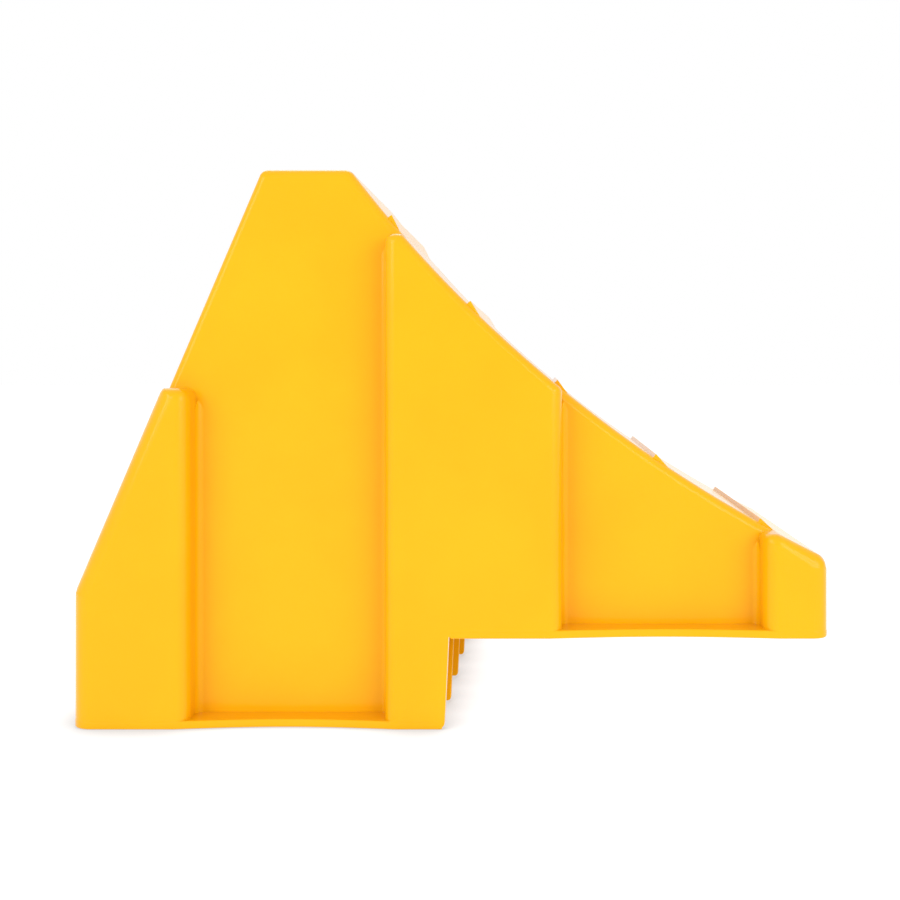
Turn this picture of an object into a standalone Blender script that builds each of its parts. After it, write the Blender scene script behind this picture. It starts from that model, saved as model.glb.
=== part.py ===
"""Portable wheel chock with a stepped base, for a vehicle parked on its own or on a levelling block.

The chock is an open-bottomed moulded shell: a heel wall, a back slope, a small flat top and a curved
tread that fits a tyre, between two corrugated side walls whose buttresses stand proud of recessed panels.
Lengthwise ribs and a web behind the step carry the tread. Each wall of the moulding is one object.

Design coordinates: X from the heel's rear face towards the toe, Y from the middle, Z up from the ground.
An empty carries every part, and puts the origin at the middle of the footprint.
"""

import math

import bmesh
import bpy

# Overall sizes, in metres
LENGTH = 0.2129
WIDTH = 0.1140
HEIGHT = 0.1588
STEP_HEIGHT = 0.0254  # one levelling block
GAP = 0.0003  # between neighbouring solids
OVERRUN = 0.0010  # how far a wall runs past the surface that trims it
HAIR = 0.000002  # keeps two cutting surfaces from coinciding

# Side profile
HEEL_HEIGHT = 0.0381  # where the upright heel meets the back slope
TOP_BACK_X = 0.0514
STEP_BOTTOM_X = 0.1053
STEP_TOP_X = 0.1064  # the step leans: the heel is narrower at the ground
TYRE_RADIUS = 0.3794
TYRE_X = 0.3785
TYRE_Z = 0.3889
TREAD_SEGMENTS = 24
TOP_EDGE_RADIUS = 0.0025
TOE_EDGE_RADIUS = 0.0053
STEP_FOOT_RADIUS = 0.0014

# Plan: the buttresses stand proud, the panels between them are set back
SKIN = 0.0030
RECESS_DEPTH = 0.0095
HEEL_BUTTRESS_END = 0.0330
CENTRE_BUTTRESS = (0.0881, 0.1381)
TOE_BUTTRESS_START = 0.1949
HEEL_ROOF = 0.0956  # level roofs cap the buttresses' uphill ends
CENTRE_ROOF = 0.1392
TOE_ROOF = 0.0544
BUTTRESS_RADIUS = 0.0050
END_RADIUS = 0.0030
ARC_SEGMENTS = 6

# Inside and underneath
RIB_THICKNESS = 0.0025
RIB_PITCH = WIDTH / 4
WEB_SETBACK = 0.0050  # from the step face to the web behind it
LIP_THICKNESS = 0.0025
LIP_BOW = 0.0024
LIP_SEGMENTS = 8

# Grip ridges across the tread: sawteeth, steep on the uphill side
RIDGE_ANGLES = [40.1, 45.3, 50.4, 55.8, 61.1]  # degrees round the tyre's centre, down from level
RIDGE_HEIGHT = 0.0012
RIDGE_LENGTH = 0.0050
RIDGE_LEAN = 0.0003
RIDGE_TAIL = 0.0005

YELLOW = (1.0, 0.565, 0.020, 1.0)

NEAR_Y = WIDTH / 2
PANEL_Y = NEAR_Y - RECESS_DEPTH


def clear_scene():
    for old in list(bpy.data.objects):
        bpy.data.objects.remove(old, do_unlink=True)


def new_collection(name):
    collection = bpy.data.collections.new(name)
    bpy.context.scene.collection.children.link(collection)
    return collection


def plastic(name):
    """The moulded yellow plastic, one material for each part."""
    material = bpy.data.materials.new(name)
    material.use_nodes = True
    shader = material.node_tree.nodes["Principled BSDF"]
    shader.inputs["Base Color"].default_value = YELLOW
    shader.inputs["Roughness"].default_value = 0.42
    shader.inputs["Metallic"].default_value = 0.0
    return material


def rounded(corners, segments=ARC_SEGMENTS):
    """Points of an outline whose corners are (u, v, radius)."""
    points = []
    for i, (u, v, radius) in enumerate(corners):
        if radius == 0:
            points.append((u, v))
            continue
        before, after = corners[i - 1], corners[(i + 1) % len(corners)]
        angle_in = math.atan2(before[1] - v, before[0] - u)
        angle_out = math.atan2(after[1] - v, after[0] - u)
        half = ((angle_out - angle_in + math.pi) % (2 * math.pi) - math.pi) / 2
        to_centre = radius / abs(math.sin(half))
        centre_u = u + to_centre * math.cos(angle_in + half)
        centre_v = v + to_centre * math.sin(angle_in + half)
        turn = math.copysign(math.pi / 2 - abs(half), half)
        for k in range(segments + 1):
            angle = angle_in + half + math.pi + turn * (1 - 2 * k / segments)
            points.append((centre_u + radius * math.cos(angle), centre_v + radius * math.sin(angle)))
    return points


def tread_point(angle, radius):
    """A point of the tread's arc, at an angle in radians down from level."""
    return TYRE_X - radius * math.cos(angle), TYRE_Z - radius * math.sin(angle)


def tread_ends(inset):
    """The tread's first and last angle, for a surface that lies inset below the outside."""
    radius = TYRE_RADIUS + inset
    first = math.asin((TYRE_Z - HEIGHT + inset) / radius)
    last = math.acos((TYRE_X - LENGTH + inset) / radius)
    return first, last


def tread_arc(inset):
    """Points down the tread, from the flat top to the toe."""
    first, last = tread_ends(inset)
    step = (last - first) / TREAD_SEGMENTS
    return [tread_point(first + step * i, TYRE_RADIUS + inset) for i in range(TREAD_SEGMENTS + 1)]


def back_slope_x(z, inset):
    """X on the back slope at a height, for a surface that lies inset behind the outside."""
    run, rise = TOP_BACK_X, HEIGHT - HEEL_HEIGHT
    return (z - HEEL_HEIGHT) * run / rise + inset * math.hypot(run, rise) / rise


def back_corners(inset):
    """The corner where heel meets slope, and the one where slope meets top."""
    run, rise = TOP_BACK_X, HEIGHT - HEEL_HEIGHT
    low_z = HEEL_HEIGHT + (inset - inset * math.hypot(run, rise) / rise) * rise / run
    top_z = HEIGHT - inset
    return (inset, low_z), (back_slope_x(top_z, inset), top_z)


def side_profile(inset, top_radius=0.0, toe_radius=0.0):
    """The chock seen from the side, as an XZ outline with its walls inset and its feet at full depth."""
    low, high = back_corners(inset)
    arc = tread_arc(inset)
    corners = [(inset, 0, 0), (*low, 0), (*high, top_radius)]
    corners += [(*arc[0], top_radius)] + [(*point, 0) for point in arc[1:-1]] + [(*arc[-1], toe_radius)]
    corners += [(LENGTH - inset, STEP_HEIGHT, 0), (STEP_TOP_X, STEP_HEIGHT, 0)]
    corners += [(STEP_BOTTOM_X, 0, STEP_FOOT_RADIUS)]
    return rounded(corners)


def half_plan():
    """Corners of the plan's outside along +Y, from heel to toe."""
    start, end = CENTRE_BUTTRESS
    return [
        (0, NEAR_Y, END_RADIUS),
        (HEEL_BUTTRESS_END, NEAR_Y, BUTTRESS_RADIUS),
        (HEEL_BUTTRESS_END, PANEL_Y, 0),
        (start, PANEL_Y, 0),
        (start, NEAR_Y, BUTTRESS_RADIUS),
        (end, NEAR_Y, BUTTRESS_RADIUS),
        (end, PANEL_Y, 0),
        (TOE_BUTTRESS_START, PANEL_Y, 0),
        (TOE_BUTTRESS_START, NEAR_Y, BUTTRESS_RADIUS),
        (LENGTH, NEAR_Y, END_RADIUS),
    ]


def plate(name, outline, low, high, upright=False):
    """A closed outline made thick: XY outlines along Z or, upright, XZ outlines along Y."""
    curve = bpy.data.curves.new(name, "CURVE")
    curve.dimensions = "2D"
    curve.fill_mode = "BOTH"
    curve.extrude = (high - low) / 2
    spline = curve.splines.new("POLY")
    spline.points.add(len(outline) - 1)
    for point, (u, v) in zip(spline.points, outline):
        point.co = (u, v, 0, 1)
    spline.use_cyclic_u = True
    drawn = bpy.data.objects.new(name + "_outline", curve)
    bpy.context.scene.collection.objects.link(drawn)
    mesh = bpy.data.meshes.new_from_object(drawn.evaluated_get(bpy.context.evaluated_depsgraph_get()))
    bpy.data.objects.remove(drawn)

    shape = bmesh.new()
    shape.from_mesh(mesh)
    bmesh.ops.remove_doubles(shape, verts=shape.verts, dist=1e-6)
    bmesh.ops.recalc_face_normals(shape, faces=shape.faces)
    shape.to_mesh(mesh)
    shape.free()
    solid = bpy.data.objects.new(name, mesh)
    if upright:
        solid.rotation_euler.x = math.pi / 2
        solid.location.y = (low + high) / 2
    else:
        solid.location.z = (low + high) / 2
    return solid


def add_part(solid):
    solid.data.materials.clear()
    solid.data.materials.append(plastic(solid.name))
    solid.parent = origin
    parts.objects.link(solid)
    return solid


def add_cutter(solid):
    solid.hide_render = True
    solid.display_type = "WIRE"
    solid.parent = origin
    cutters.objects.link(solid)
    return solid


def trim_to(solid, cutter):
    """Keeps what lies inside the cutter."""
    modifier = solid.modifiers.new("trim", "BOOLEAN")
    modifier.operation = "INTERSECT"
    modifier.solver = "EXACT"
    modifier.object = cutter


def cut_away(solid, cutter):
    """Removes what lies inside the cutter."""
    modifier = solid.modifiers.new("cut", "BOOLEAN")
    modifier.operation = "DIFFERENCE"
    modifier.solver = "EXACT"
    modifier.object = cutter


def mirrored(corners, side):
    return [(x, side * y, radius) for x, y, radius in corners]


def make_envelope():
    """The chock's whole outside as one solid: the plan's prism within the side profile's."""
    plan = half_plan()
    outline = rounded(plan + mirrored(reversed(plan), -1))
    envelope = add_cutter(plate("envelope", outline, -OVERRUN, HEIGHT + OVERRUN))
    profile = side_profile(-HAIR, TOP_EDGE_RADIUS, TOE_EDGE_RADIUS)
    trim_to(envelope, add_cutter(plate("outer_profile", profile, -WIDTH, WIDTH, upright=True)))
    heel_to_centre = (HEEL_BUTTRESS_END + CENTRE_BUTTRESS[0]) / 2
    centre_to_toe = (CENTRE_BUTTRESS[1] + TOE_BUTTRESS_START) / 2
    caps = [(-OVERRUN, heel_to_centre, HEEL_ROOF), (heel_to_centre, centre_to_toe, CENTRE_ROOF)]
    caps += [(centre_to_toe, LENGTH + OVERRUN, TOE_ROOF)]
    over_top = HEIGHT + OVERRUN
    for number, (start, end, roof) in enumerate(caps, 1):
        block = [(start, roof), (end, roof), (end, over_top), (start, over_top)]
        for label, low, high in (("near", -WIDTH, -PANEL_Y), ("far", PANEL_Y, WIDTH)):
            cut_away(envelope, add_cutter(plate(f"{label}_cap_{number}", block, low, high, upright=True)))
    return envelope


def trimmed_ends(outer, inner):
    """A strip between two paths, its mitred ends drawn back by half a gap."""
    for path in (outer, inner):
        for end, inward in ((0, 1), (-1, -2)):
            run = path[inward][0] - path[end][0], path[inward][1] - path[end][1]
            back = GAP / 2 / math.hypot(*run)
            path[end] = path[end][0] + run[0] * back, path[end][1] + run[1] * back
    return outer + inner[::-1]


def make_skin(envelope):
    """The five walls that go across the full width, with mitred joints."""
    low_out, high_out = back_corners(-OVERRUN)
    low_in, high_in = back_corners(SKIN)
    arc_out, arc_in = tread_arc(-OVERRUN), tread_arc(SKIN)
    toe_out, toe_in = arc_out[-1], arc_in[-1]
    toe_foot = STEP_HEIGHT - OVERRUN
    strips = {
        "heel_wall": ([(-OVERRUN, -OVERRUN), low_out], [(SKIN, -OVERRUN), low_in]),
        "back_slope": ([low_out, high_out], [low_in, high_in]),
        "top_plate": ([high_out, arc_out[0]], [high_in, arc_in[0]]),
        "tread_deck": (arc_out, arc_in),
        "toe_wall": ([toe_out, (LENGTH + OVERRUN, toe_foot)], [toe_in, (LENGTH - SKIN, toe_foot)]),
    }
    for name, (outer, inner) in strips.items():
        wall = plate(name, trimmed_ends(list(outer), list(inner)), -WIDTH, WIDTH, upright=True)
        trim_to(add_part(wall), envelope)


def buttress_plan(start, end, open_start=False, open_end=False):
    """A channel in plan, open towards the inside. An open end has no return wall."""
    face, back, root = NEAR_Y, NEAR_Y - SKIN, PANEL_Y - SKIN
    inner_radius = BUTTRESS_RADIUS - SKIN
    outside = [(start, face, 0)] if open_start else [(start, root, 0), (start, face, BUTTRESS_RADIUS)]
    outside += [(end, face, 0)] if open_end else [(end, face, BUTTRESS_RADIUS), (end, root, 0)]
    inside = [(end, back, 0)] if open_end else [(end - SKIN, root, 0), (end - SKIN, back, inner_radius)]
    inside += [(start, back, 0)] if open_start else [(start + SKIN, back, inner_radius), (start + SKIN, root, 0)]
    return outside + inside


def rear_panel_outline():
    """The rear panel in XZ. Above the heel buttress's roof it reaches back to the slope."""
    start, end = HEEL_BUTTRESS_END + GAP, CENTRE_BUTTRESS[0] - GAP
    over_roof = HEEL_ROOF + GAP
    foot = [(start, -OVERRUN), (end, -OVERRUN)]
    return foot + [(end, HEIGHT), (0, HEIGHT), (0, over_roof), (start, over_roof)]


def front_panel_outline():
    start, end = CENTRE_BUTTRESS[1] + GAP, TOE_BUTTRESS_START - GAP
    return [(start, 0), (end, 0), (end, HEIGHT), (start, HEIGHT)]


def make_side_wall(side, label, interior):
    """Buttresses, the heel buttress's roof and the recessed panels of one side wall, under the skin."""
    start, under_roof = SKIN - OVERRUN, HEEL_ROOF - SKIN
    heel = buttress_plan(start, HEEL_BUTTRESS_END, open_start=True)
    roof = [(start, NEAR_Y, 0), (HEEL_BUTTRESS_END, NEAR_Y, BUTTRESS_RADIUS)]
    roof += [(HEEL_BUTTRESS_END, PANEL_Y - SKIN, 0), (start, PANEL_Y - SKIN, 0)]
    toe = buttress_plan(TOE_BUTTRESS_START, LENGTH - start, open_end=True)
    upright_walls = [
        ("heel_buttress", heel, -OVERRUN, under_roof - GAP),
        ("heel_roof", roof, under_roof, HEEL_ROOF),
        ("centre_buttress", buttress_plan(*CENTRE_BUTTRESS), -OVERRUN, CENTRE_ROOF),
        ("toe_buttress", toe, -OVERRUN, HEIGHT),
    ]
    for name, corners, low, high in upright_walls:
        outline = rounded(mirrored(corners, side))
        trim_to(add_part(plate(f"{label}_{name}", outline, low, high)), interior)
    low, high = sorted((side * (PANEL_Y - SKIN), side * PANEL_Y))
    for name, outline in (("rear_panel", rear_panel_outline()), ("front_panel", front_panel_outline())):
        trim_to(add_part(plate(f"{label}_{name}", outline, low, high, upright=True)), interior)


def make_lip(side, name, start, end, base):
    """The flange along the foot of a recessed panel, bowed inwards between its buttresses."""
    root = PANEL_Y + GAP
    edge = []
    for i in range(LIP_SEGMENTS + 1):
        across = i / LIP_SEGMENTS
        bow = LIP_BOW * math.sin(math.pi * across)
        edge.append((end + (start - end) * across, side * (NEAR_Y - bow)))
    outline = [(start, side * root), (end, side * root)] + edge
    add_part(plate(name, outline, base, base + LIP_THICKNESS))


def make_lips(side, label):
    make_lip(side, f"{label}_rear_lip", HEEL_BUTTRESS_END + GAP, CENTRE_BUTTRESS[0] - GAP, 0)
    make_lip(side, f"{label}_front_lip", CENTRE_BUTTRESS[1] + GAP, TOE_BUTTRESS_START - GAP, STEP_HEIGHT)


def make_ribs():
    """Lengthwise ribs under the tread, whose feet stand at the step face beside the web."""
    outline = side_profile(SKIN + GAP)
    for name, y in (("near_rib", -RIB_PITCH), ("centre_rib", 0.0), ("far_rib", RIB_PITCH)):
        add_part(plate(name, outline, y - RIB_THICKNESS / 2, y + RIB_THICKNESS / 2, upright=True))


def make_step_webs():
    """The web behind the step, in the four bays between walls and ribs."""
    front = STEP_BOTTOM_X - WEB_SETBACK
    back = front - RIB_THICKNESS
    radius = TYRE_RADIUS + SKIN + GAP
    tops = [TYRE_Z - math.sqrt(radius**2 - (TYRE_X - x) ** 2) for x in (front, back)]
    outline = [(back, 0), (front, 0), (front, tops[0]), (back, tops[1])]
    half_rib = RIB_THICKNESS / 2 + GAP
    wall = NEAR_Y - SKIN - GAP
    bays = [(-wall, -RIB_PITCH - half_rib), (-RIB_PITCH + half_rib, -half_rib)]
    bays += [(-high, -low) for low, high in reversed(bays)]
    for number, (low, high) in enumerate(bays, 1):
        add_part(plate(f"step_web_{number}", outline, low, high, upright=True))


def make_ridges():
    """Sawtooth grip ridges across the tread, between the planes of the recessed panels."""
    for number, degrees in enumerate(RIDGE_ANGLES, 1):
        angle = math.radians(degrees)
        along, out = (math.sin(angle), -math.cos(angle)), (math.cos(angle), math.sin(angle))
        foot_x, foot_z = tread_point(angle, TYRE_RADIUS)
        tooth = [(-RIDGE_LEAN, GAP), (RIDGE_LENGTH, GAP), (RIDGE_LENGTH, RIDGE_TAIL), (0, RIDGE_HEIGHT)]
        outline = [(foot_x + a * along[0] + h * out[0], foot_z + a * along[1] + h * out[1]) for a, h in tooth]
        add_part(plate(f"grip_ridge_{number}", outline, -PANEL_Y, PANEL_Y, upright=True))


clear_scene()
parts = new_collection("wheel_chock")
cutters = new_collection("cutters")
origin = bpy.data.objects.new("chock_origin", None)
origin.location.x = -LENGTH / 2
parts.objects.link(origin)

make_skin(make_envelope())
inner_profile = add_cutter(plate("inner_profile", side_profile(SKIN + GAP), -WIDTH, WIDTH, upright=True))
for side_of_y, side_name in ((-1, "near"), (1, "far")):
    make_side_wall(side_of_y, side_name, inner_profile)
    make_lips(side_of_y, side_name)
make_ribs()
make_step_webs()
make_ridges()
bpy.context.view_layer.update()
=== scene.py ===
"""Looks of a portable wheel chock with a stepped base, moulded in yellow plastic."""

import math

import bmesh
import bpy
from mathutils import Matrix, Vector


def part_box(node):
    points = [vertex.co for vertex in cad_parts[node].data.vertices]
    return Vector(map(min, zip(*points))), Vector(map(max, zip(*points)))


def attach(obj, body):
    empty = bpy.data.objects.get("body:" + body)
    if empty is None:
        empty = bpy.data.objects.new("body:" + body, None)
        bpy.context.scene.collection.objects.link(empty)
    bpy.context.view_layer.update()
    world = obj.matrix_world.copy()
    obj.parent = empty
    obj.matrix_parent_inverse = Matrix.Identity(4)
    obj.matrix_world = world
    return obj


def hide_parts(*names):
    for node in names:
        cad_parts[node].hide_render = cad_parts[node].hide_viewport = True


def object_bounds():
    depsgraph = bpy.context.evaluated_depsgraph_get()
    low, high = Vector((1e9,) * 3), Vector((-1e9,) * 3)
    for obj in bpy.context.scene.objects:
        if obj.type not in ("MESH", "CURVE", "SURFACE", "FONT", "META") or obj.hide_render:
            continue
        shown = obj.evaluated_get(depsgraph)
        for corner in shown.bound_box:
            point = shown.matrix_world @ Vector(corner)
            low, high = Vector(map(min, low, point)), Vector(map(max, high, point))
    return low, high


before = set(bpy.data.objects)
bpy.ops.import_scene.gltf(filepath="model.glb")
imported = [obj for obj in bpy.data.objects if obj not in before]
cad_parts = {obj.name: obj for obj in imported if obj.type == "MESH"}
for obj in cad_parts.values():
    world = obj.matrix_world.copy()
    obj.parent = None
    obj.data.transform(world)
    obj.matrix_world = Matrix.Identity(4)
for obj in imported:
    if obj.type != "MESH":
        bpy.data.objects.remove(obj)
cad_low, cad_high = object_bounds()


# ---------------------------------------------------------------- sizes, in metres

MM = 0.001

# From the frame: where the walls, buttresses and panels stand
LEFT, RIGHT = cad_low.x, cad_high.x
NEAR_Y = cad_high.y
TOP = cad_high.z
STEP_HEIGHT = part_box("toe_wall")[0].z
HEEL_BUTTRESS_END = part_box("near_heel_roof")[1].x
HEEL_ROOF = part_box("near_heel_roof")[1].z
CENTRE_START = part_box("near_centre_buttress")[0].x
CENTRE_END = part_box("near_centre_buttress")[1].x
CENTRE_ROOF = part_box("near_centre_buttress")[1].z
TOE_BUTTRESS_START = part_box("near_toe_buttress")[0].x
PANEL_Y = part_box("far_rear_panel")[1].y
RIB_NAMES = ("near_rib", "centre_rib", "far_rib")
RIB_YS = [(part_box(name)[0].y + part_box(name)[1].y) / 2 for name in RIB_NAMES]

# The side profile
HEEL_HEIGHT = 38.1 * MM
TOP_BACK_X = LEFT + 51.4 * MM
STEP_BOTTOM_X = LEFT + 105.1 * MM
STEP_TOP_X = LEFT + 106.3 * MM
TOE_ROOF = 54.4 * MM
TYRE_RADIUS = 379.4 * MM
TYRE_X = LEFT + 378.5 * MM
TYRE_Z = 388.9 * MM
WALL = 3.0 * MM
TREAD_STEPS = 60
TREAD_FROM, TREAD_TO = 36, 66  # degrees round the tyre's centre, down from level
CORE_START, CORE_END = LEFT + 12 * MM, RIGHT - 8 * MM  # inside the heel and toe bodies

# How far each rounding reaches from its edge. Where edges meet, the reaches leave room for each other.
# A ROOM is what a tread's ends keep free of points.
HEEL_ROUNDING = 5.5 * MM
CREASE_REACH = 1.1 * MM
HEEL_ROOF_ROUNDING = 3.4 * MM
HEEL_SIDE_ROUNDING = 3.8 * MM
HEEL_TOP_REACH = 1.2 * MM
HEEL_SHOULDER_REACH = 3.2 * MM
CENTRE_LEFT_ROUNDING = 3.3 * MM
CENTRE_ROOF_ROUNDING = 3.0 * MM
CENTRE_TREAD_ROUNDING = 2.9 * MM
CENTRE_RIGHT_ROUNDING = 3.5 * MM
CENTRE_SHOULDER_REACH = 2.3 * MM
CENTRE_TREAD_ROOM = 3.0 * MM
TOE_SIDE_ROUNDING = 4.3 * MM
TOE_ROOF_ROUNDING = 3.2 * MM
TOE_TREAD_ROUNDING = (2.9 * MM, 4.4 * MM)  # at the roof and at the toe's end
TOE_ROUNDING = 4.4 * MM
TOE_REACH = 2.7 * MM
TOE_SHOULDER_REACH = 2.0 * MM
TOE_TREAD_ROOM = 3.7 * MM
TREAD_END_REACH = 0.8 * MM
CORE_SLOPE_ROUNDING = 2.3 * MM
CORE_TREAD_ROUNDING = 3.0 * MM
TOP_REACH = 1.4 * MM
STEP_FOOT_REACH = 1.4 * MM
LARGEST_REACH = 6.0 * MM
TOE_EXTENSION = 0.2 * MM  # makes up for what the toe's rounding takes off its outline

# The upright fillets beside the panels
PANEL_FILLET = 2.2 * MM
FILLET_DEPTH = 0.5 * MM  # how far they reach into the walls
FILLET_SINK = 0.01 * MM  # sinks their edges below the faces that they meet
FILLET_RUN_OUT = 2.0  # how steeply their tops fall away from the corner
FILLET_RISE = 1.0 * MM  # above where a buttress's shoulder starts to round
FRONT_FILLET_TOP = 93.0 * MM
TOE_FILLET_DROP = 1.5 * MM

# The foot flange, the ribs and the ridges
FLANGE_HEIGHT = 2.3 * MM
FLANGE_PROUD = 0.06 * MM
FLANGE_BOW = 2.4 * MM
FLANGE_ROUNDING = 0.5 * MM
HEEL_FLANGE_GAP, TOE_FLANGE_GAP = 0.6 * MM, 0.4 * MM  # to the step's face
BOW_STEPS = 24
SHELL_LIFT = 0.5 * MM  # the shell's foot stands inside the flange, whose lower edge is rounded
RIB_THICKNESS = 2.5 * MM
RIB_SHORTFALL = 0.4 * MM  # between the ribs' edges and the shell's foot and step
RIB_SINK = 1.0 * MM  # how far ribs and webs reach into the walls
RIB_ROUNDING = 0.4 * MM
RIB_CORNER = 1.0 * MM
WEB_OVERLAP = 0.6 * MM
RIDGE_ANGLES = [40.0, 45.25, 50.3, 55.72, 61.1]
RIDGE_SETBACK = 0.75  # how far the ridges' ends stand back, as a share of the tread's side rounding
RIDGE_HEIGHT = 1.25 * MM
RIDGE_LENGTH = 5.0 * MM
RIDGE_ROOT = 3.4 * MM
RIDGE_LEAN = 0.3 * MM  # of the tooth's steep side
RIDGE_ROUNDING = 0.2 * MM

# The camera looks straight along +Y, and its shift puts the picture's middle beside its axis
CAMERA_X, CAMERA_Z = 26.85 * MM, 101.6 * MM
CAMERA_DISTANCE = 328 * MM  # from the near side
VIEW_WIDTH = 252 * MM  # at that distance
VIEW_SHIFT = (-0.10556, -0.09222)  # as a share of the picture's width
SENSOR_WIDTH = 36  # millimetres

# The white room's soft light, the studio's lights and the paper floor
ROOM_LIGHT = 0.87  # the share of it that lights surfaces, while it looks fully white
LIGHT_TARGET = (0, 0, 0.06)
STUDIO_LIGHTS = [  # name, place, width and watts
    ("key", (-0.9, -1.1, 0.6), 0.8, 7),
    ("rim", (-0.3, 1.1, 1.2), 0.9, 3),
    ("fill", (0.9, -1.1, 0.45), 0.8, 7),
]
FLOOR_HALF_WIDTH = 6.0
FLOOR_GAP = 0.05 * MM
FLOOR_ROUGHNESS = 0.9
FLOOR_GREY = 0.2
FLOOR_GLOW = 1.0
# The floor's glow near the heel, dimmed by ambient occlusion as a painted shadow, and how far that reaches
PAINTED_SHADOW_GLOW = 0.58  # where the heel meets the paper
PAINTED_SHADOW_REACH = 14 * MM

# The plastic's colours, linear
PLASTIC_DEEP = (0.815, 0.388, 0.0012, 1)
PLASTIC_PALE = (0.850, 0.408, 0.0018, 1)
PLASTIC_SPECK = (0.90, 0.46, 0.01, 1)
# The paler colour on edges: partly worn plastic, partly a painted highlight along the roundings
PLASTIC_WORN_AND_HIGHLIGHT = (0.93, 0.50, 0.03, 1)
WEAR_AND_HIGHLIGHT_REACH = 0.5 * MM

# Its surface: noise in features per metre with its detail, and what each noise does
CLOUDS, GRAIN, RUBBING_AND_HIGHLIGHT, SCUFFS, TEXTURE, WAVES = (30, 3), (1400, 2), (220, 4), (90, 5), (2400, 3), (55, 2)
SPECK_SHARES = (0.06, 0.12)
WEAR_AND_HIGHLIGHT_SHARES = (0.03, 0.22)
ROUGHNESSES = (0.34, 0.44)
WORN_ROUGHNESS = 0.08  # added where an edge is worn, on the same mask as the painted edge highlight
TEXTURE_STRENGTH, TEXTURE_DEPTH = 0.22, 0.03 * MM
WAVE_STRENGTH, WAVE_DEPTH = 0.10, 0.25 * MM
SPECULAR_LEVEL = 0.05
COAT_ROUGHNESS, COAT_IOR = 0.16, 1.25

ARC_STEPS = 6
EDGE_STEPS = 3
SMOOTH_DEGREES = 28
DEEP = -20 * MM  # bodies and hollows run down past the foot, which is cut last
HAIR = 0.002 * MM  # keeps flush faces from coinciding while they are joined
MERGE_DISTANCE = 0.005 * MM


# ---------------------------------------------------------------- outlines

def rounded(corners):
    """Points of a closed outline whose corners are (u, v, radius)."""
    points = []
    for i, (u, v, radius) in enumerate(corners):
        if radius <= 0:
            points.append((u, v))
            continue
        before, after = corners[i - 1], corners[(i + 1) % len(corners)]
        angle_in = math.atan2(before[1] - v, before[0] - u)
        angle_out = math.atan2(after[1] - v, after[0] - u)
        half = ((angle_out - angle_in + math.pi) % (2 * math.pi) - math.pi) / 2
        middle = angle_in + half
        reach = radius / abs(math.sin(half))
        centre_u, centre_v = u + reach * math.cos(middle), v + reach * math.sin(middle)
        turn = math.copysign(math.pi / 2 - abs(half), half)
        for k in range(ARC_STEPS + 1):
            angle = middle + math.pi + turn * (1 - 2 * k / ARC_STEPS)
            points.append((centre_u + radius * math.cos(angle), centre_v + radius * math.sin(angle)))
    return points


def tread_arc(inset):
    """Points down the tread and a little past both ends, for a surface inset below the outside."""
    radius = TYRE_RADIUS + inset
    points = []
    for i in range(TREAD_STEPS + 1):
        angle = math.radians(TREAD_FROM + (TREAD_TO - TREAD_FROM) * i / TREAD_STEPS)
        points.append((TYRE_X - radius * math.cos(angle), TYRE_Z - radius * math.sin(angle)))
    return points


def tread_between(inset, below, until, room=0.0):
    """The tread's points from where it drops below a height to where it reaches an X. Its ends keep some
    room free for their roundings."""
    arc = tread_arc(inset)
    points = []
    for (x0, z0), (x1, z1) in zip(arc, arc[1:]):
        if z0 > below >= z1:
            points.append((x0 + (x1 - x0) * (z0 - below) / (z0 - z1), below))
        if z1 < below and x1 < until:
            points.append((x1, z1))
        if x0 < until <= x1:
            points.append((until, z0 + (z1 - z0) * (until - x0) / (x1 - x0)))
    first, last = points[0], points[-1]
    between = [p for p in points[1:-1] if min(math.dist(p, first), math.dist(p, last)) > room]
    return [first] + between + [last]


def slope_x(z, inset=0.0):
    """X on the back slope at a height."""
    run, rise = TOP_BACK_X - LEFT, TOP - HEEL_HEIGHT
    return LEFT + (z - HEEL_HEIGHT) * run / rise + inset * math.hypot(run, rise) / rise


def slope_z(x, inset=0.0):
    """Height on the back slope at an X."""
    run, rise = TOP_BACK_X - LEFT, TOP - HEEL_HEIGHT
    return HEEL_HEIGHT + (x - slope_x(HEEL_HEIGHT, inset)) * rise / run


def core_outline(inset=0.0):
    """XZ outline between the recessed panels, as (x, z, corner reach, side reach). Its ends lie inside
    the heel and toe bodies."""
    top, foot = TOP - inset, DEEP - inset
    tread = tread_between(inset, top, CORE_END, TOP_REACH)
    outline = [(CORE_START, foot, 0, 0), (CORE_START, slope_z(CORE_START, inset), 0, CORE_SLOPE_ROUNDING)]
    outline += [(slope_x(top, inset), top, TOP_REACH, CORE_TREAD_ROUNDING)]
    outline += [(*tread[0], TOP_REACH, CORE_TREAD_ROUNDING)]
    outline += [(*point, 0, CORE_TREAD_ROUNDING) for point in tread[1:-1]]
    return outline + [(*tread[-1], 0, 0), (CORE_END, foot, 0, 0)]


def heel_outline(inset=-HAIR):
    """The heel body in XZ, with its sloping back and level roof."""
    back, roof, side, foot = LEFT + inset, HEEL_ROOF - inset, HEEL_BUTTRESS_END - inset, DEEP - inset
    outline = [(back, foot, 0, HEEL_ROUNDING), (back, slope_z(back, inset), CREASE_REACH, HEEL_ROUNDING)]
    outline += [(slope_x(roof, inset), roof, HEEL_TOP_REACH, HEEL_ROOF_ROUNDING)]
    return outline + [(side, roof, HEEL_SHOULDER_REACH, HEEL_SIDE_ROUNDING), (side, foot, 0, 0)]


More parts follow.
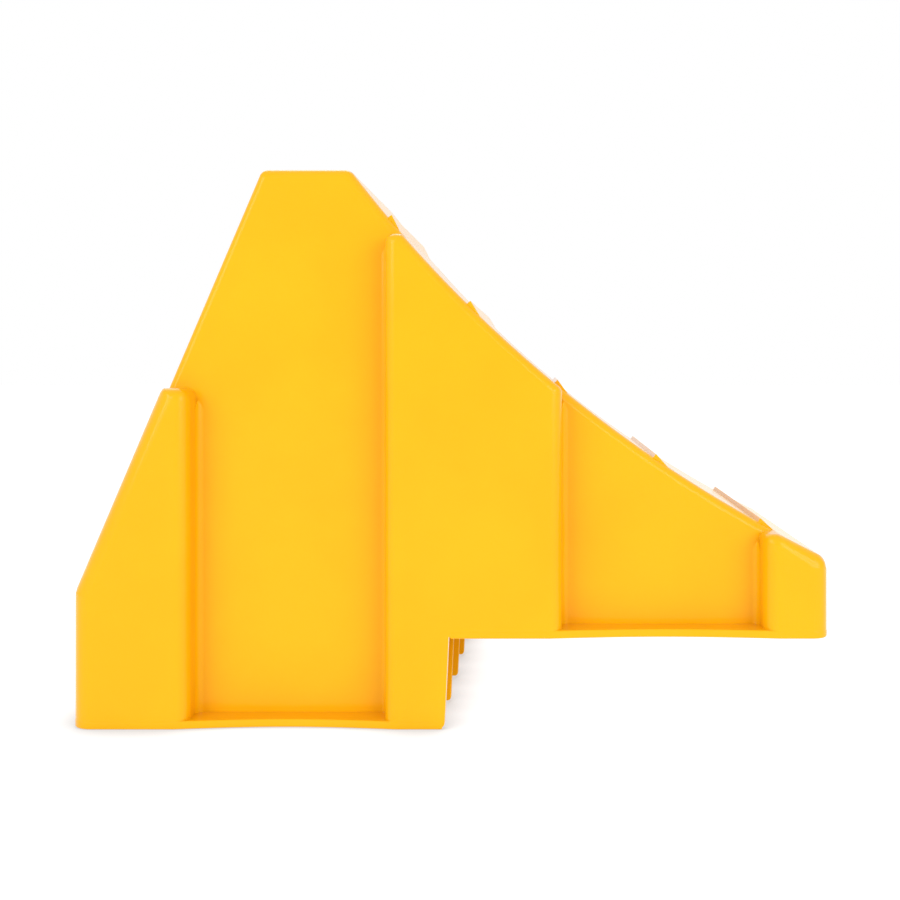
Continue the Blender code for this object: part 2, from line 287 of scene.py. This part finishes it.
def centre_outline(inset=-HAIR):
    """The centre body in XZ, with its roof and the tread below it."""
    start, end = CENTRE_START + inset, CENTRE_END - inset
    roof, foot = CENTRE_ROOF - inset, DEEP - inset
    tread = tread_between(inset, roof, end, CENTRE_TREAD_ROOM)
    outline = [(start, foot, 0, CENTRE_LEFT_ROUNDING)]
    outline += [(start, roof, CENTRE_SHOULDER_REACH, CENTRE_ROOF_ROUNDING)]
    outline += [(*tread[0], TREAD_END_REACH, CENTRE_TREAD_ROUNDING)]
    outline += [(*point, 0, CENTRE_TREAD_ROUNDING) for point in tread[1:-1]]
    return outline + [(*tread[-1], TREAD_END_REACH, CENTRE_RIGHT_ROUNDING), (end, foot, 0, 0)]


def toe_outline(inset=-HAIR):
    """The toe body in XZ, whose tread's side rounding grows towards the toe."""
    start, end = TOE_BUTTRESS_START + inset, RIGHT + TOE_EXTENSION - inset
    roof, foot = TOE_ROOF - inset, DEEP - inset
    tread = tread_between(inset, roof, end, TOE_TREAD_ROOM)
    first, last = TOE_TREAD_ROUNDING
    growth = (last - first) / (len(tread) - 2)
    outline = [(start, foot, 0, TOE_SIDE_ROUNDING), (start, roof, TOE_SHOULDER_REACH, TOE_ROOF_ROUNDING)]
    outline += [(*tread[0], TREAD_END_REACH, first)]
    outline += [(*point, 0, first + growth * i) for i, point in enumerate(tread[1:-1], 1)]
    return outline + [(*tread[-1], TOE_REACH, TOE_ROUNDING), (end, foot, 0, 0)]


def below_foot():
    """What the foot's cut removes: everything under the heel, the leaning step and the toe, in XZ."""
    past = 10 * MM
    heel, toe = SHELL_LIFT, STEP_HEIGHT + SHELL_LIFT
    corners = [(LEFT - past, heel, 0), (STEP_BOTTOM_X, heel, STEP_FOOT_REACH), (STEP_TOP_X, toe, 0)]
    corners += [(RIGHT + past, toe, 0), (RIGHT + past, 2 * DEEP, 0), (LEFT - past, 2 * DEEP, 0)]
    return rounded(corners)


# ---------------------------------------------------------------- mesh tools

def new_piece(name, mesh):
    piece = bpy.data.objects.new(name, mesh)
    bpy.context.scene.collection.objects.link(piece)
    return piece


def prism(name, outline, low, high, across=False):
    """A closed outline made thick: XY outlines along Z or, across, XZ outlines along Y."""
    shape = bmesh.new()
    place = (lambda u, v, w: (u, w, v)) if across else (lambda u, v, w: (u, v, w))
    base = shape.faces.new([shape.verts.new(place(u, v, low)) for u, v in outline])
    grown = bmesh.ops.extrude_face_region(shape, geom=[base])
    moved = [item for item in grown["geom"] if isinstance(item, bmesh.types.BMVert)]
    bmesh.ops.translate(shape, verts=moved, vec=place(0, 0, high - low))
    bmesh.ops.recalc_face_normals(shape, faces=shape.faces)
    mesh = bpy.data.meshes.new(name)
    shape.to_mesh(mesh)
    shape.free()
    return new_piece(name, mesh)


def body(name, outline, half_width):
    """A prism across Y whose corners and side edges are rounded by the reaches in its outline."""
    shape = bmesh.new()
    weight = shape.edges.layers.float.new("bevel_weight_edge")
    rows = [[shape.verts.new((x, y, z)) for x, z, _, _ in outline] for y in (-half_width, half_width)]
    shape.faces.new(rows[0])
    shape.faces.new(rows[1][::-1])
    count = len(outline)
    for i in range(count):
        after = (i + 1) % count
        shape.faces.new([rows[0][i], rows[1][i], rows[1][after], rows[0][after]])
    for i, (_, _, corner, side) in enumerate(outline):
        shape.edges.get((rows[0][i], rows[1][i]))[weight] = corner / LARGEST_REACH
        for row in rows:
            shape.edges.get((row[i], row[(i + 1) % count]))[weight] = side / LARGEST_REACH
    bmesh.ops.recalc_face_normals(shape, faces=shape.faces)
    mesh = bpy.data.meshes.new(name)
    shape.to_mesh(mesh)
    shape.free()
    piece = new_piece(name, mesh)
    add_bevel(piece, LARGEST_REACH, ARC_STEPS)
    return piece


def hollow_body(name, outline, half_width):
    """The space inside a body, without roundings."""
    return prism(name, [(x, z) for x, z, _, _ in outline], -half_width, half_width, across=True)


def bake(piece):
    """Applies the piece's modifiers."""
    bpy.context.view_layer.update()
    graph = bpy.context.evaluated_depsgraph_get()
    mesh = bpy.data.meshes.new_from_object(piece.evaluated_get(graph))
    piece.modifiers.clear()
    piece.data = mesh


def add_bevel(piece, radius, steps):
    """Rounds edges by their bevel weights."""
    modifier = piece.modifiers.new("round", "BEVEL")
    modifier.limit_method = "WEIGHT"
    modifier.width = radius
    modifier.segments = steps
    modifier.use_clamp_overlap = False
    bake(piece)


def combine(piece, tool, operation):
    """A Boolean with a tool that is used up."""
    modifier = piece.modifiers.new(operation.lower(), "BOOLEAN")
    modifier.operation = operation
    modifier.solver = "EXACT"
    modifier.object = tool
    bake(piece)
    bpy.data.objects.remove(tool)
    shape = bmesh.new()
    shape.from_mesh(piece.data)
    bmesh.ops.remove_doubles(shape, verts=shape.verts, dist=MERGE_DISTANCE)
    bmesh.ops.dissolve_degenerate(shape, dist=2 * MERGE_DISTANCE, edges=shape.edges)
    flat = math.radians(0.2)
    bmesh.ops.dissolve_limit(shape, angle_limit=flat, verts=shape.verts, edges=shape.edges)
    shape.to_mesh(piece.data)
    shape.free()


def round_edges(piece, radius, chosen):
    """Bevels the edges that chosen(edge) picks."""
    shape = bmesh.new()
    shape.from_mesh(piece.data)
    weight = shape.edges.layers.float.new("bevel_weight_edge")
    for edge in shape.edges:
        edge[weight] = float(len(edge.link_faces) == 2 and chosen(edge))
    shape.to_mesh(piece.data)
    shape.free()
    add_bevel(piece, radius, EDGE_STEPS)


def is_sharp(edge, degrees):
    return edge.calc_face_angle(0) > math.radians(degrees)


def finish_piece(piece, material, *nodes):
    """Smooth shading, material and the piece's place in the frame."""
    piece.data.materials.clear()
    piece.data.materials.append(material)
    piece.data.shade_smooth()
    piece.data.set_sharp_from_angle(angle=math.radians(SMOOTH_DEGREES))
    normals = piece.modifiers.new("even_normals", "WEIGHTED_NORMAL")
    normals.keep_sharp = True
    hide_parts(*nodes)
    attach(piece, "root")


# ---------------------------------------------------------------- materials

def add_node(tree, kind, **inputs):
    """A node of that kind with some of its inputs set, given by name with _ for spaces."""
    node = tree.nodes.new(kind)
    for name, value in inputs.items():
        node.inputs[name.replace("_", " ")].default_value = value
    return node


def add_noise(tree, coordinates, kind):
    """Noise from 0 to 1. The kind is its scale, in features per metre, and its detail."""
    scale, detail = kind
    noise = add_node(tree, "ShaderNodeTexNoise", Scale=scale, Detail=detail, Roughness=0.55)
    tree.links.new(coordinates, noise.inputs["Vector"])
    return noise.outputs["Fac"]


def add_range(tree, value, low, high, new_low, new_high):
    """Maps low..high to new_low..new_high, clamped."""
    ramp = add_node(tree, "ShaderNodeMapRange")
    for name, number in (("From Min", low), ("From Max", high), ("To Min", new_low), ("To Max", new_high)):
        ramp.inputs[name].default_value = number
    tree.links.new(value, ramp.inputs["Value"])
    return ramp.outputs["Result"]


def add_math(tree, operation, first, second):
    node = add_node(tree, "ShaderNodeMath")
    node.operation = operation
    tree.links.new(first, node.inputs[0])
    tree.links.new(second, node.inputs[1])
    return node.outputs["Value"]


def add_mix(tree, amount, first, second):
    """Mixes two colours, each a socket or four numbers."""
    node = tree.nodes.new("ShaderNodeMix")
    node.data_type = "RGBA"
    tree.links.new(amount, node.inputs["Factor"])
    for name, colour in (("A", first), ("B", second)):
        socket = next(i for i in node.inputs if i.name == name and i.type == "RGBA")
        if isinstance(colour, bpy.types.NodeSocket):
            tree.links.new(colour, socket)
        else:
            socket.default_value = colour
    return next(o for o in node.outputs if o.type == "RGBA")


def edge_mask(tree):
    """0 on flats and 1 on edges, from how far a bevelled normal leans off the surface's own."""
    bevel = add_node(tree, "ShaderNodeBevel", Radius=WEAR_AND_HIGHLIGHT_REACH)
    bevel.samples = 6
    geometry = tree.nodes.new("ShaderNodeNewGeometry")
    lean = tree.nodes.new("ShaderNodeVectorMath")
    lean.operation = "DOT_PRODUCT"
    tree.links.new(bevel.outputs["Normal"], lean.inputs[0])
    tree.links.new(geometry.outputs["Normal"], lean.inputs[1])
    return add_range(tree, lean.outputs["Value"], 0.995, 0.90, 0.0, 1.0)


def moulded_plastic(name, polish):
    """Polypropylene coloured through: even yellow, a fine spark-eroded texture and edges painted paler,
    partly as worn plastic and partly as a painted highlight along the roundings.
    """
    material = bpy.data.materials.new(name)
    material.use_nodes = True
    tree = material.node_tree
    place = tree.nodes.new("ShaderNodeTexCoord").outputs["Object"]
    shader = tree.nodes["Principled BSDF"]
    shader.inputs["Specular IOR Level"].default_value = SPECULAR_LEVEL
    shader.inputs["Coat Weight"].default_value = polish
    shader.inputs["Coat Roughness"].default_value = COAT_ROUGHNESS
    shader.inputs["Coat IOR"].default_value = COAT_IOR

    clouds = add_range(tree, add_noise(tree, place, CLOUDS), 0.35, 0.65, 0, 1)
    grain = add_range(tree, add_noise(tree, place, GRAIN), 0.3, 0.7, 0, 1)
    even = add_mix(tree, clouds, PLASTIC_DEEP, PLASTIC_PALE)
    speck = add_math(tree, "MULTIPLY", grain, add_range(tree, clouds, 0, 1, *SPECK_SHARES))
    body_colour = add_mix(tree, speck, even, PLASTIC_SPECK)
    # Edges painted paler in noisy patches: partly worn plastic, partly a painted highlight along the
    # roundings
    worn_and_highlit_share = add_range(tree, add_noise(tree, place, RUBBING_AND_HIGHLIGHT), 0.42, 0.62, *WEAR_AND_HIGHLIGHT_SHARES)
    wear_and_highlight = add_math(tree, "MULTIPLY", edge_mask(tree), worn_and_highlit_share)
    tree.links.new(add_mix(tree, wear_and_highlight, body_colour, PLASTIC_WORN_AND_HIGHLIGHT), shader.inputs["Base Color"])

    scuffs = add_range(tree, add_noise(tree, place, SCUFFS), 0.3, 0.7, *ROUGHNESSES)
    roughness = add_math(tree, "ADD", scuffs, add_range(tree, wear_and_highlight, 0, 0.5, 0, WORN_ROUGHNESS))
    tree.links.new(roughness, shader.inputs["Roughness"])

    texture = add_node(tree, "ShaderNodeBump", Strength=TEXTURE_STRENGTH, Distance=TEXTURE_DEPTH)
    tree.links.new(add_noise(tree, place, TEXTURE), texture.inputs["Height"])
    waviness = add_node(tree, "ShaderNodeBump", Strength=WAVE_STRENGTH, Distance=WAVE_DEPTH)
    tree.links.new(add_noise(tree, place, WAVES), waviness.inputs["Height"])
    tree.links.new(texture.outputs["Normal"], waviness.inputs["Normal"])
    tree.links.new(waviness.outputs["Normal"], shader.inputs["Normal"])
    return material


# ---------------------------------------------------------------- pieces

def fillet_plan(corner_x, panel_y, away):
    """XY outline of the fillet where a buttress's side meets a panel, on the side that away points to."""
    outward = math.copysign(1, panel_y)
    inner_x, inner_y = corner_x - away * FILLET_DEPTH, panel_y - outward * FILLET_DEPTH
    leg = PANEL_FILLET - FILLET_SINK
    points = [(inner_x, inner_y), (corner_x + away * leg, inner_y)]
    for k in range(ARC_STEPS + 1):
        angle = math.pi / 2 * k / ARC_STEPS
        across = PANEL_FILLET * (1 - math.sin(angle)) - FILLET_SINK
        out = PANEL_FILLET * (1 - math.cos(angle)) - FILLET_SINK
        points.append((corner_x + away * across, panel_y + outward * out))
    return points + [(inner_x, panel_y + outward * leg)]


def add_fillets(shell):
    """The upright fillets beside the panels, which run out to a point below the roofs."""
    fillets = [
        (HEEL_BUTTRESS_END, 1, HEEL_ROOF - HEEL_SHOULDER_REACH + FILLET_RISE),
        (CENTRE_START, -1, CENTRE_ROOF - CENTRE_SHOULDER_REACH + FILLET_RISE),
        (CENTRE_END, 1, FRONT_FILLET_TOP),
        (TOE_BUTTRESS_START, -1, TOE_ROOF - TOE_FILLET_DROP),
    ]
    for x, away, high in fillets:
        for panel_y in (-PANEL_Y, PANEL_Y):
            fillet = prism("fillet", fillet_plan(x, panel_y, away), DEEP / 2, high)
            for vertex in fillet.data.vertices:
                if vertex.co.z > 0:
                    off_corner = max(0, abs(vertex.co.y) - PANEL_Y, away * (vertex.co.x - x))
                    vertex.co.z -= FILLET_RUN_OUT * off_corner
            combine(shell, fillet, "UNION")


def make_shell(material):
    """The moulding's skin: walls, back slope, top and tread in one hollow piece, open underneath."""
    shell = body("shell", core_outline(), PANEL_Y)
    for outline in (heel_outline(), centre_outline(), toe_outline()):
        combine(shell, body("body", outline, NEAR_Y), "UNION")
    add_fillets(shell)
    hollow = hollow_body("hollow", core_outline(WALL), PANEL_Y - WALL)
    inset = WALL + HAIR
    for outline in (heel_outline(inset), centre_outline(inset), toe_outline(inset)):
        combine(hollow, hollow_body("hollow", outline, NEAR_Y - WALL), "UNION")
    combine(shell, hollow, "DIFFERENCE")
    combine(shell, prism("cut", below_foot(), -2 * NEAR_Y, 2 * NEAR_Y, across=True), "DIFFERENCE")
    skin = ["heel_wall", "back_slope", "top_plate", "tread_deck", "toe_wall"]
    side_walls = ["heel_buttress", "heel_roof", "rear_panel"]
    side_walls += ["centre_buttress", "front_panel", "toe_buttress"]
    for side in ("near", "far"):
        skin += [f"{side}_{wall}" for wall in side_walls]
    finish_piece(shell, material, *skin)


def bowed(x_from, x_to):
    """Points along the foot between two buttresses, bowed inwards."""
    points = []
    for i in range(BOW_STEPS + 1):
        across = i / BOW_STEPS
        depth = FLANGE_BOW * math.sin(math.pi * across)
        points.append((x_from + (x_to - x_from) * across, NEAR_Y + FLANGE_PROUD - depth, 0))
    return points


def make_flange(name, material, outer, inner, base, *nodes):
    """The flange round one foot, a C in plan whose inner edge lies inside the walls."""
    outer = outer + [(x, -y, radius) for x, y, radius in reversed(outer)]
    inner = inner + [(x, -y, radius) for x, y, radius in reversed(inner)]
    outline = rounded(outer + inner[::-1])
    flange = prism(name, outline, base, base + FLANGE_HEIGHT)

    def level(edge):
        return is_sharp(edge, 60) and abs(edge.verts[0].co.z - edge.verts[1].co.z) < 0.1 * MM

    round_edges(flange, FLANGE_ROUNDING, level)
    finish_piece(flange, material, *nodes)


def make_flanges(material):
    """The heel's and the toe's flange. Their inner edges lie one wall inside the walls' faces."""
    wall = WALL + FLANGE_PROUD
    face, side, panel = NEAR_Y + FLANGE_PROUD, NEAR_Y - wall, PANEL_Y - wall

    step = STEP_BOTTOM_X - HEEL_FLANGE_GAP
    bow = bowed(CENTRE_START + CENTRE_LEFT_ROUNDING, HEEL_BUTTRESS_END - HEEL_SIDE_ROUNDING)
    heel_corner = (LEFT - FLANGE_PROUD, face, HEEL_ROUNDING + FLANGE_PROUD)
    outer = [(step, face, 0)] + bow + [heel_corner]
    inner = [(step, side, 0), (CENTRE_START + wall, side, 0), (CENTRE_START + wall, panel, 0)]
    inner += [(HEEL_BUTTRESS_END - wall, panel, 0), (HEEL_BUTTRESS_END - wall, side, 0)]
    inner += [(LEFT + wall, side, 0)]
    make_flange("heel_flange", material, outer, inner, 0.0, "near_rear_lip", "far_rear_lip")

    step, toe = STEP_TOP_X + TOE_FLANGE_GAP, RIGHT + TOE_EXTENSION
    bow = bowed(CENTRE_END - CENTRE_RIGHT_ROUNDING, TOE_BUTTRESS_START + TOE_SIDE_ROUNDING)
    toe_corner = (toe + FLANGE_PROUD, face, TOE_ROUNDING + FLANGE_PROUD)
    outer = [(step, face, 0)] + bow + [toe_corner]
    inner = [(step, side, 0), (CENTRE_END - wall, side, 0), (CENTRE_END - wall, panel, 0)]
    inner += [(TOE_BUTTRESS_START + wall, panel, 0), (TOE_BUTTRESS_START + wall, side, 0)]
    inner += [(toe - wall, side, 0)]
    make_flange("toe_flange", material, outer, inner, STEP_HEIGHT, "near_front_lip", "far_front_lip")


def rib_outline(inset):
    """The side profile in XZ, inset into the walls. At the step and the foot the ribs stop short."""
    tread = tread_between(inset, TOP - inset, RIGHT - inset)
    heel, toe = RIB_SHORTFALL, STEP_HEIGHT + RIB_SHORTFALL
    corners = [(LEFT + inset, heel, 0), (LEFT + inset, slope_z(LEFT + inset, inset), 0)]
    corners += [(slope_x(TOP - inset, inset), TOP - inset, 0)] + [(x, z, 0) for x, z in tread]
    corners += [(RIGHT - inset, toe, 0), (STEP_TOP_X - RIB_SHORTFALL, toe, 0)]
    corners += [(STEP_BOTTOM_X - RIB_SHORTFALL, heel, RIB_CORNER)]
    return rounded(corners)


def make_ribs(material):
    """The three lengthwise ribs under the tread."""
    outline = rib_outline(WALL - RIB_SINK)
    for name, y in zip(RIB_NAMES, RIB_YS):
        rib = prism(name + "_wall", outline, y - RIB_THICKNESS / 2, y + RIB_THICKNESS / 2, across=True)
        round_edges(rib, RIB_ROUNDING, lambda edge: is_sharp(edge, 60))
        finish_piece(rib, material, name)


def make_webs(material):
    """The webs behind the step, which close the four bays between walls and ribs."""
    radius = TYRE_RADIUS + WALL - RIB_SINK
    for number in range(1, 5):
        node = f"step_web_{number}"
        web_low, web_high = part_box(node)
        corners = [(web_low.x, 0), (web_high.x, 0)]
        for x in (web_high.x, web_low.x):
            corners.append((x, TYRE_Z - math.sqrt(radius**2 - (TYRE_X - x) ** 2)))
        web = prism(node + "_wall", corners, web_low.y - WEB_OVERLAP, web_high.y + WEB_OVERLAP, across=True)
        round_edges(web, RIB_ROUNDING, lambda edge: is_sharp(edge, 60))
        finish_piece(web, material, node)


def make_ridges(material):
    """The saw-tooth ridges across the tread. The one on the centre body spans its full width."""
    for number, degrees in enumerate(RIDGE_ANGLES, 1):
        angle = math.radians(degrees)
        along = Vector((math.sin(angle), -math.cos(angle)))
        out = Vector((math.cos(angle), math.sin(angle)))
        foot = Vector((TYRE_X - TYRE_RADIUS * math.cos(angle), TYRE_Z - TYRE_RADIUS * math.sin(angle)))
        tooth = [(-RIDGE_LEAN, -RIDGE_ROOT), (RIDGE_LENGTH, -RIDGE_ROOT)]
        tooth += [(RIDGE_LENGTH, 0), (0, RIDGE_HEIGHT)]
        outline = [tuple(foot + along * a + out * h) for a, h in tooth]
        reach = PANEL_Y - RIDGE_SETBACK * CORE_TREAD_ROUNDING
        if CENTRE_START < foot.x < CENTRE_END - CENTRE_RIGHT_ROUNDING and foot.y < CENTRE_ROOF:
            reach = NEAR_Y - RIDGE_SETBACK * CENTRE_TREAD_ROUNDING
        ridge = prism(f"ridge_{number}", outline, -reach, reach, across=True)
        round_edges(ridge, RIDGE_ROUNDING, lambda edge: is_sharp(edge, 40))
        finish_piece(ridge, material, f"grip_ridge_{number}")


# ---------------------------------------------------------------- stage

def make_stage():
    """A sheet of white paper that glows evenly, lit from all round. Near the heel its glow is dimmed by
    ambient occlusion, which paints a shadow there over the faint real shade.
    """
    floor_material = bpy.data.materials.new("pale_floor")
    floor_material.use_nodes = True
    shader = floor_material.node_tree.nodes["Principled BSDF"]
    shader.inputs["Base Color"].default_value = (FLOOR_GREY, FLOOR_GREY, FLOOR_GREY, 1)
    shader.inputs["Roughness"].default_value = FLOOR_ROUGHNESS
    shader.inputs["Specular IOR Level"].default_value = 0.0
    shader.inputs["Emission Color"].default_value = (1, 1, 1, 1)
    tree = floor_material.node_tree
    # Painted shadow: ambient occlusion dims the floor's glow where the heel stands on it
    painted_contact_shadow = add_node(tree, "ShaderNodeAmbientOcclusion", Distance=PAINTED_SHADOW_REACH)
    glow = add_range(tree, painted_contact_shadow.outputs["AO"], 0.5, 1.0, PAINTED_SHADOW_GLOW, FLOOR_GLOW)
    tree.links.new(glow, shader.inputs["Emission Strength"])
    mesh = bpy.data.meshes.new("floor")
    shape = bmesh.new()
    bmesh.ops.create_grid(shape, x_segments=1, y_segments=1, size=FLOOR_HALF_WIDTH)
    shape.to_mesh(mesh)
    shape.free()
    floor = new_piece("floor", mesh)
    floor.location.z = -FLOOR_GAP
    mesh.materials.append(floor_material)


def add_light(name, location, size, watts):
    lamp = bpy.data.lights.new(name, "AREA")
    lamp.shape = "SQUARE"
    lamp.size = size
    lamp.energy = watts
    light = new_piece(name, lamp)
    light.location = location
    towards = Vector(LIGHT_TARGET) - light.location
    light.rotation_euler = towards.to_track_quat("-Z", "Y").to_euler()


def make_lights():
    """The white room, which lights diffuse surfaces a little less than it shows, and the studio lights."""
    world = bpy.data.worlds.new("studio")
    bpy.context.scene.world = world
    world.use_nodes = True
    background = world.node_tree.nodes["Background"]
    background.inputs["Color"].default_value = (1, 1, 1, 1)
    diffuse = world.node_tree.nodes.new("ShaderNodeLightPath").outputs["Is Diffuse Ray"]
    strength = add_range(world.node_tree, diffuse, 0, 1, 1.0, ROOM_LIGHT)
    world.node_tree.links.new(strength, background.inputs["Strength"])
    for name, location, size, watts in STUDIO_LIGHTS:
        add_light(name, location, size, watts)


def make_camera():
    lens_data = bpy.data.cameras.new("camera")
    camera = new_piece("camera", lens_data)
    camera.location = (CAMERA_X, -NEAR_Y - CAMERA_DISTANCE, CAMERA_Z)
    camera.rotation_euler = (math.pi / 2, 0, 0)
    lens_data.sensor_width = SENSOR_WIDTH
    lens_data.lens = SENSOR_WIDTH * CAMERA_DISTANCE / VIEW_WIDTH
    lens_data.shift_x, lens_data.shift_y = VIEW_SHIFT
    lens_data.clip_start = 0.01
    bpy.context.scene.camera = camera
    bpy.context.scene.view_settings.view_transform = "Standard"


make_camera()
make_lights()
make_stage()
outside = moulded_plastic("moulded_yellow_plastic", polish=1.0)
inside = moulded_plastic("yellow_plastic_inside", polish=0.0)
make_shell(outside)
make_flanges(outside)
make_ribs(inside)
make_webs(inside)
make_ridges(outside)
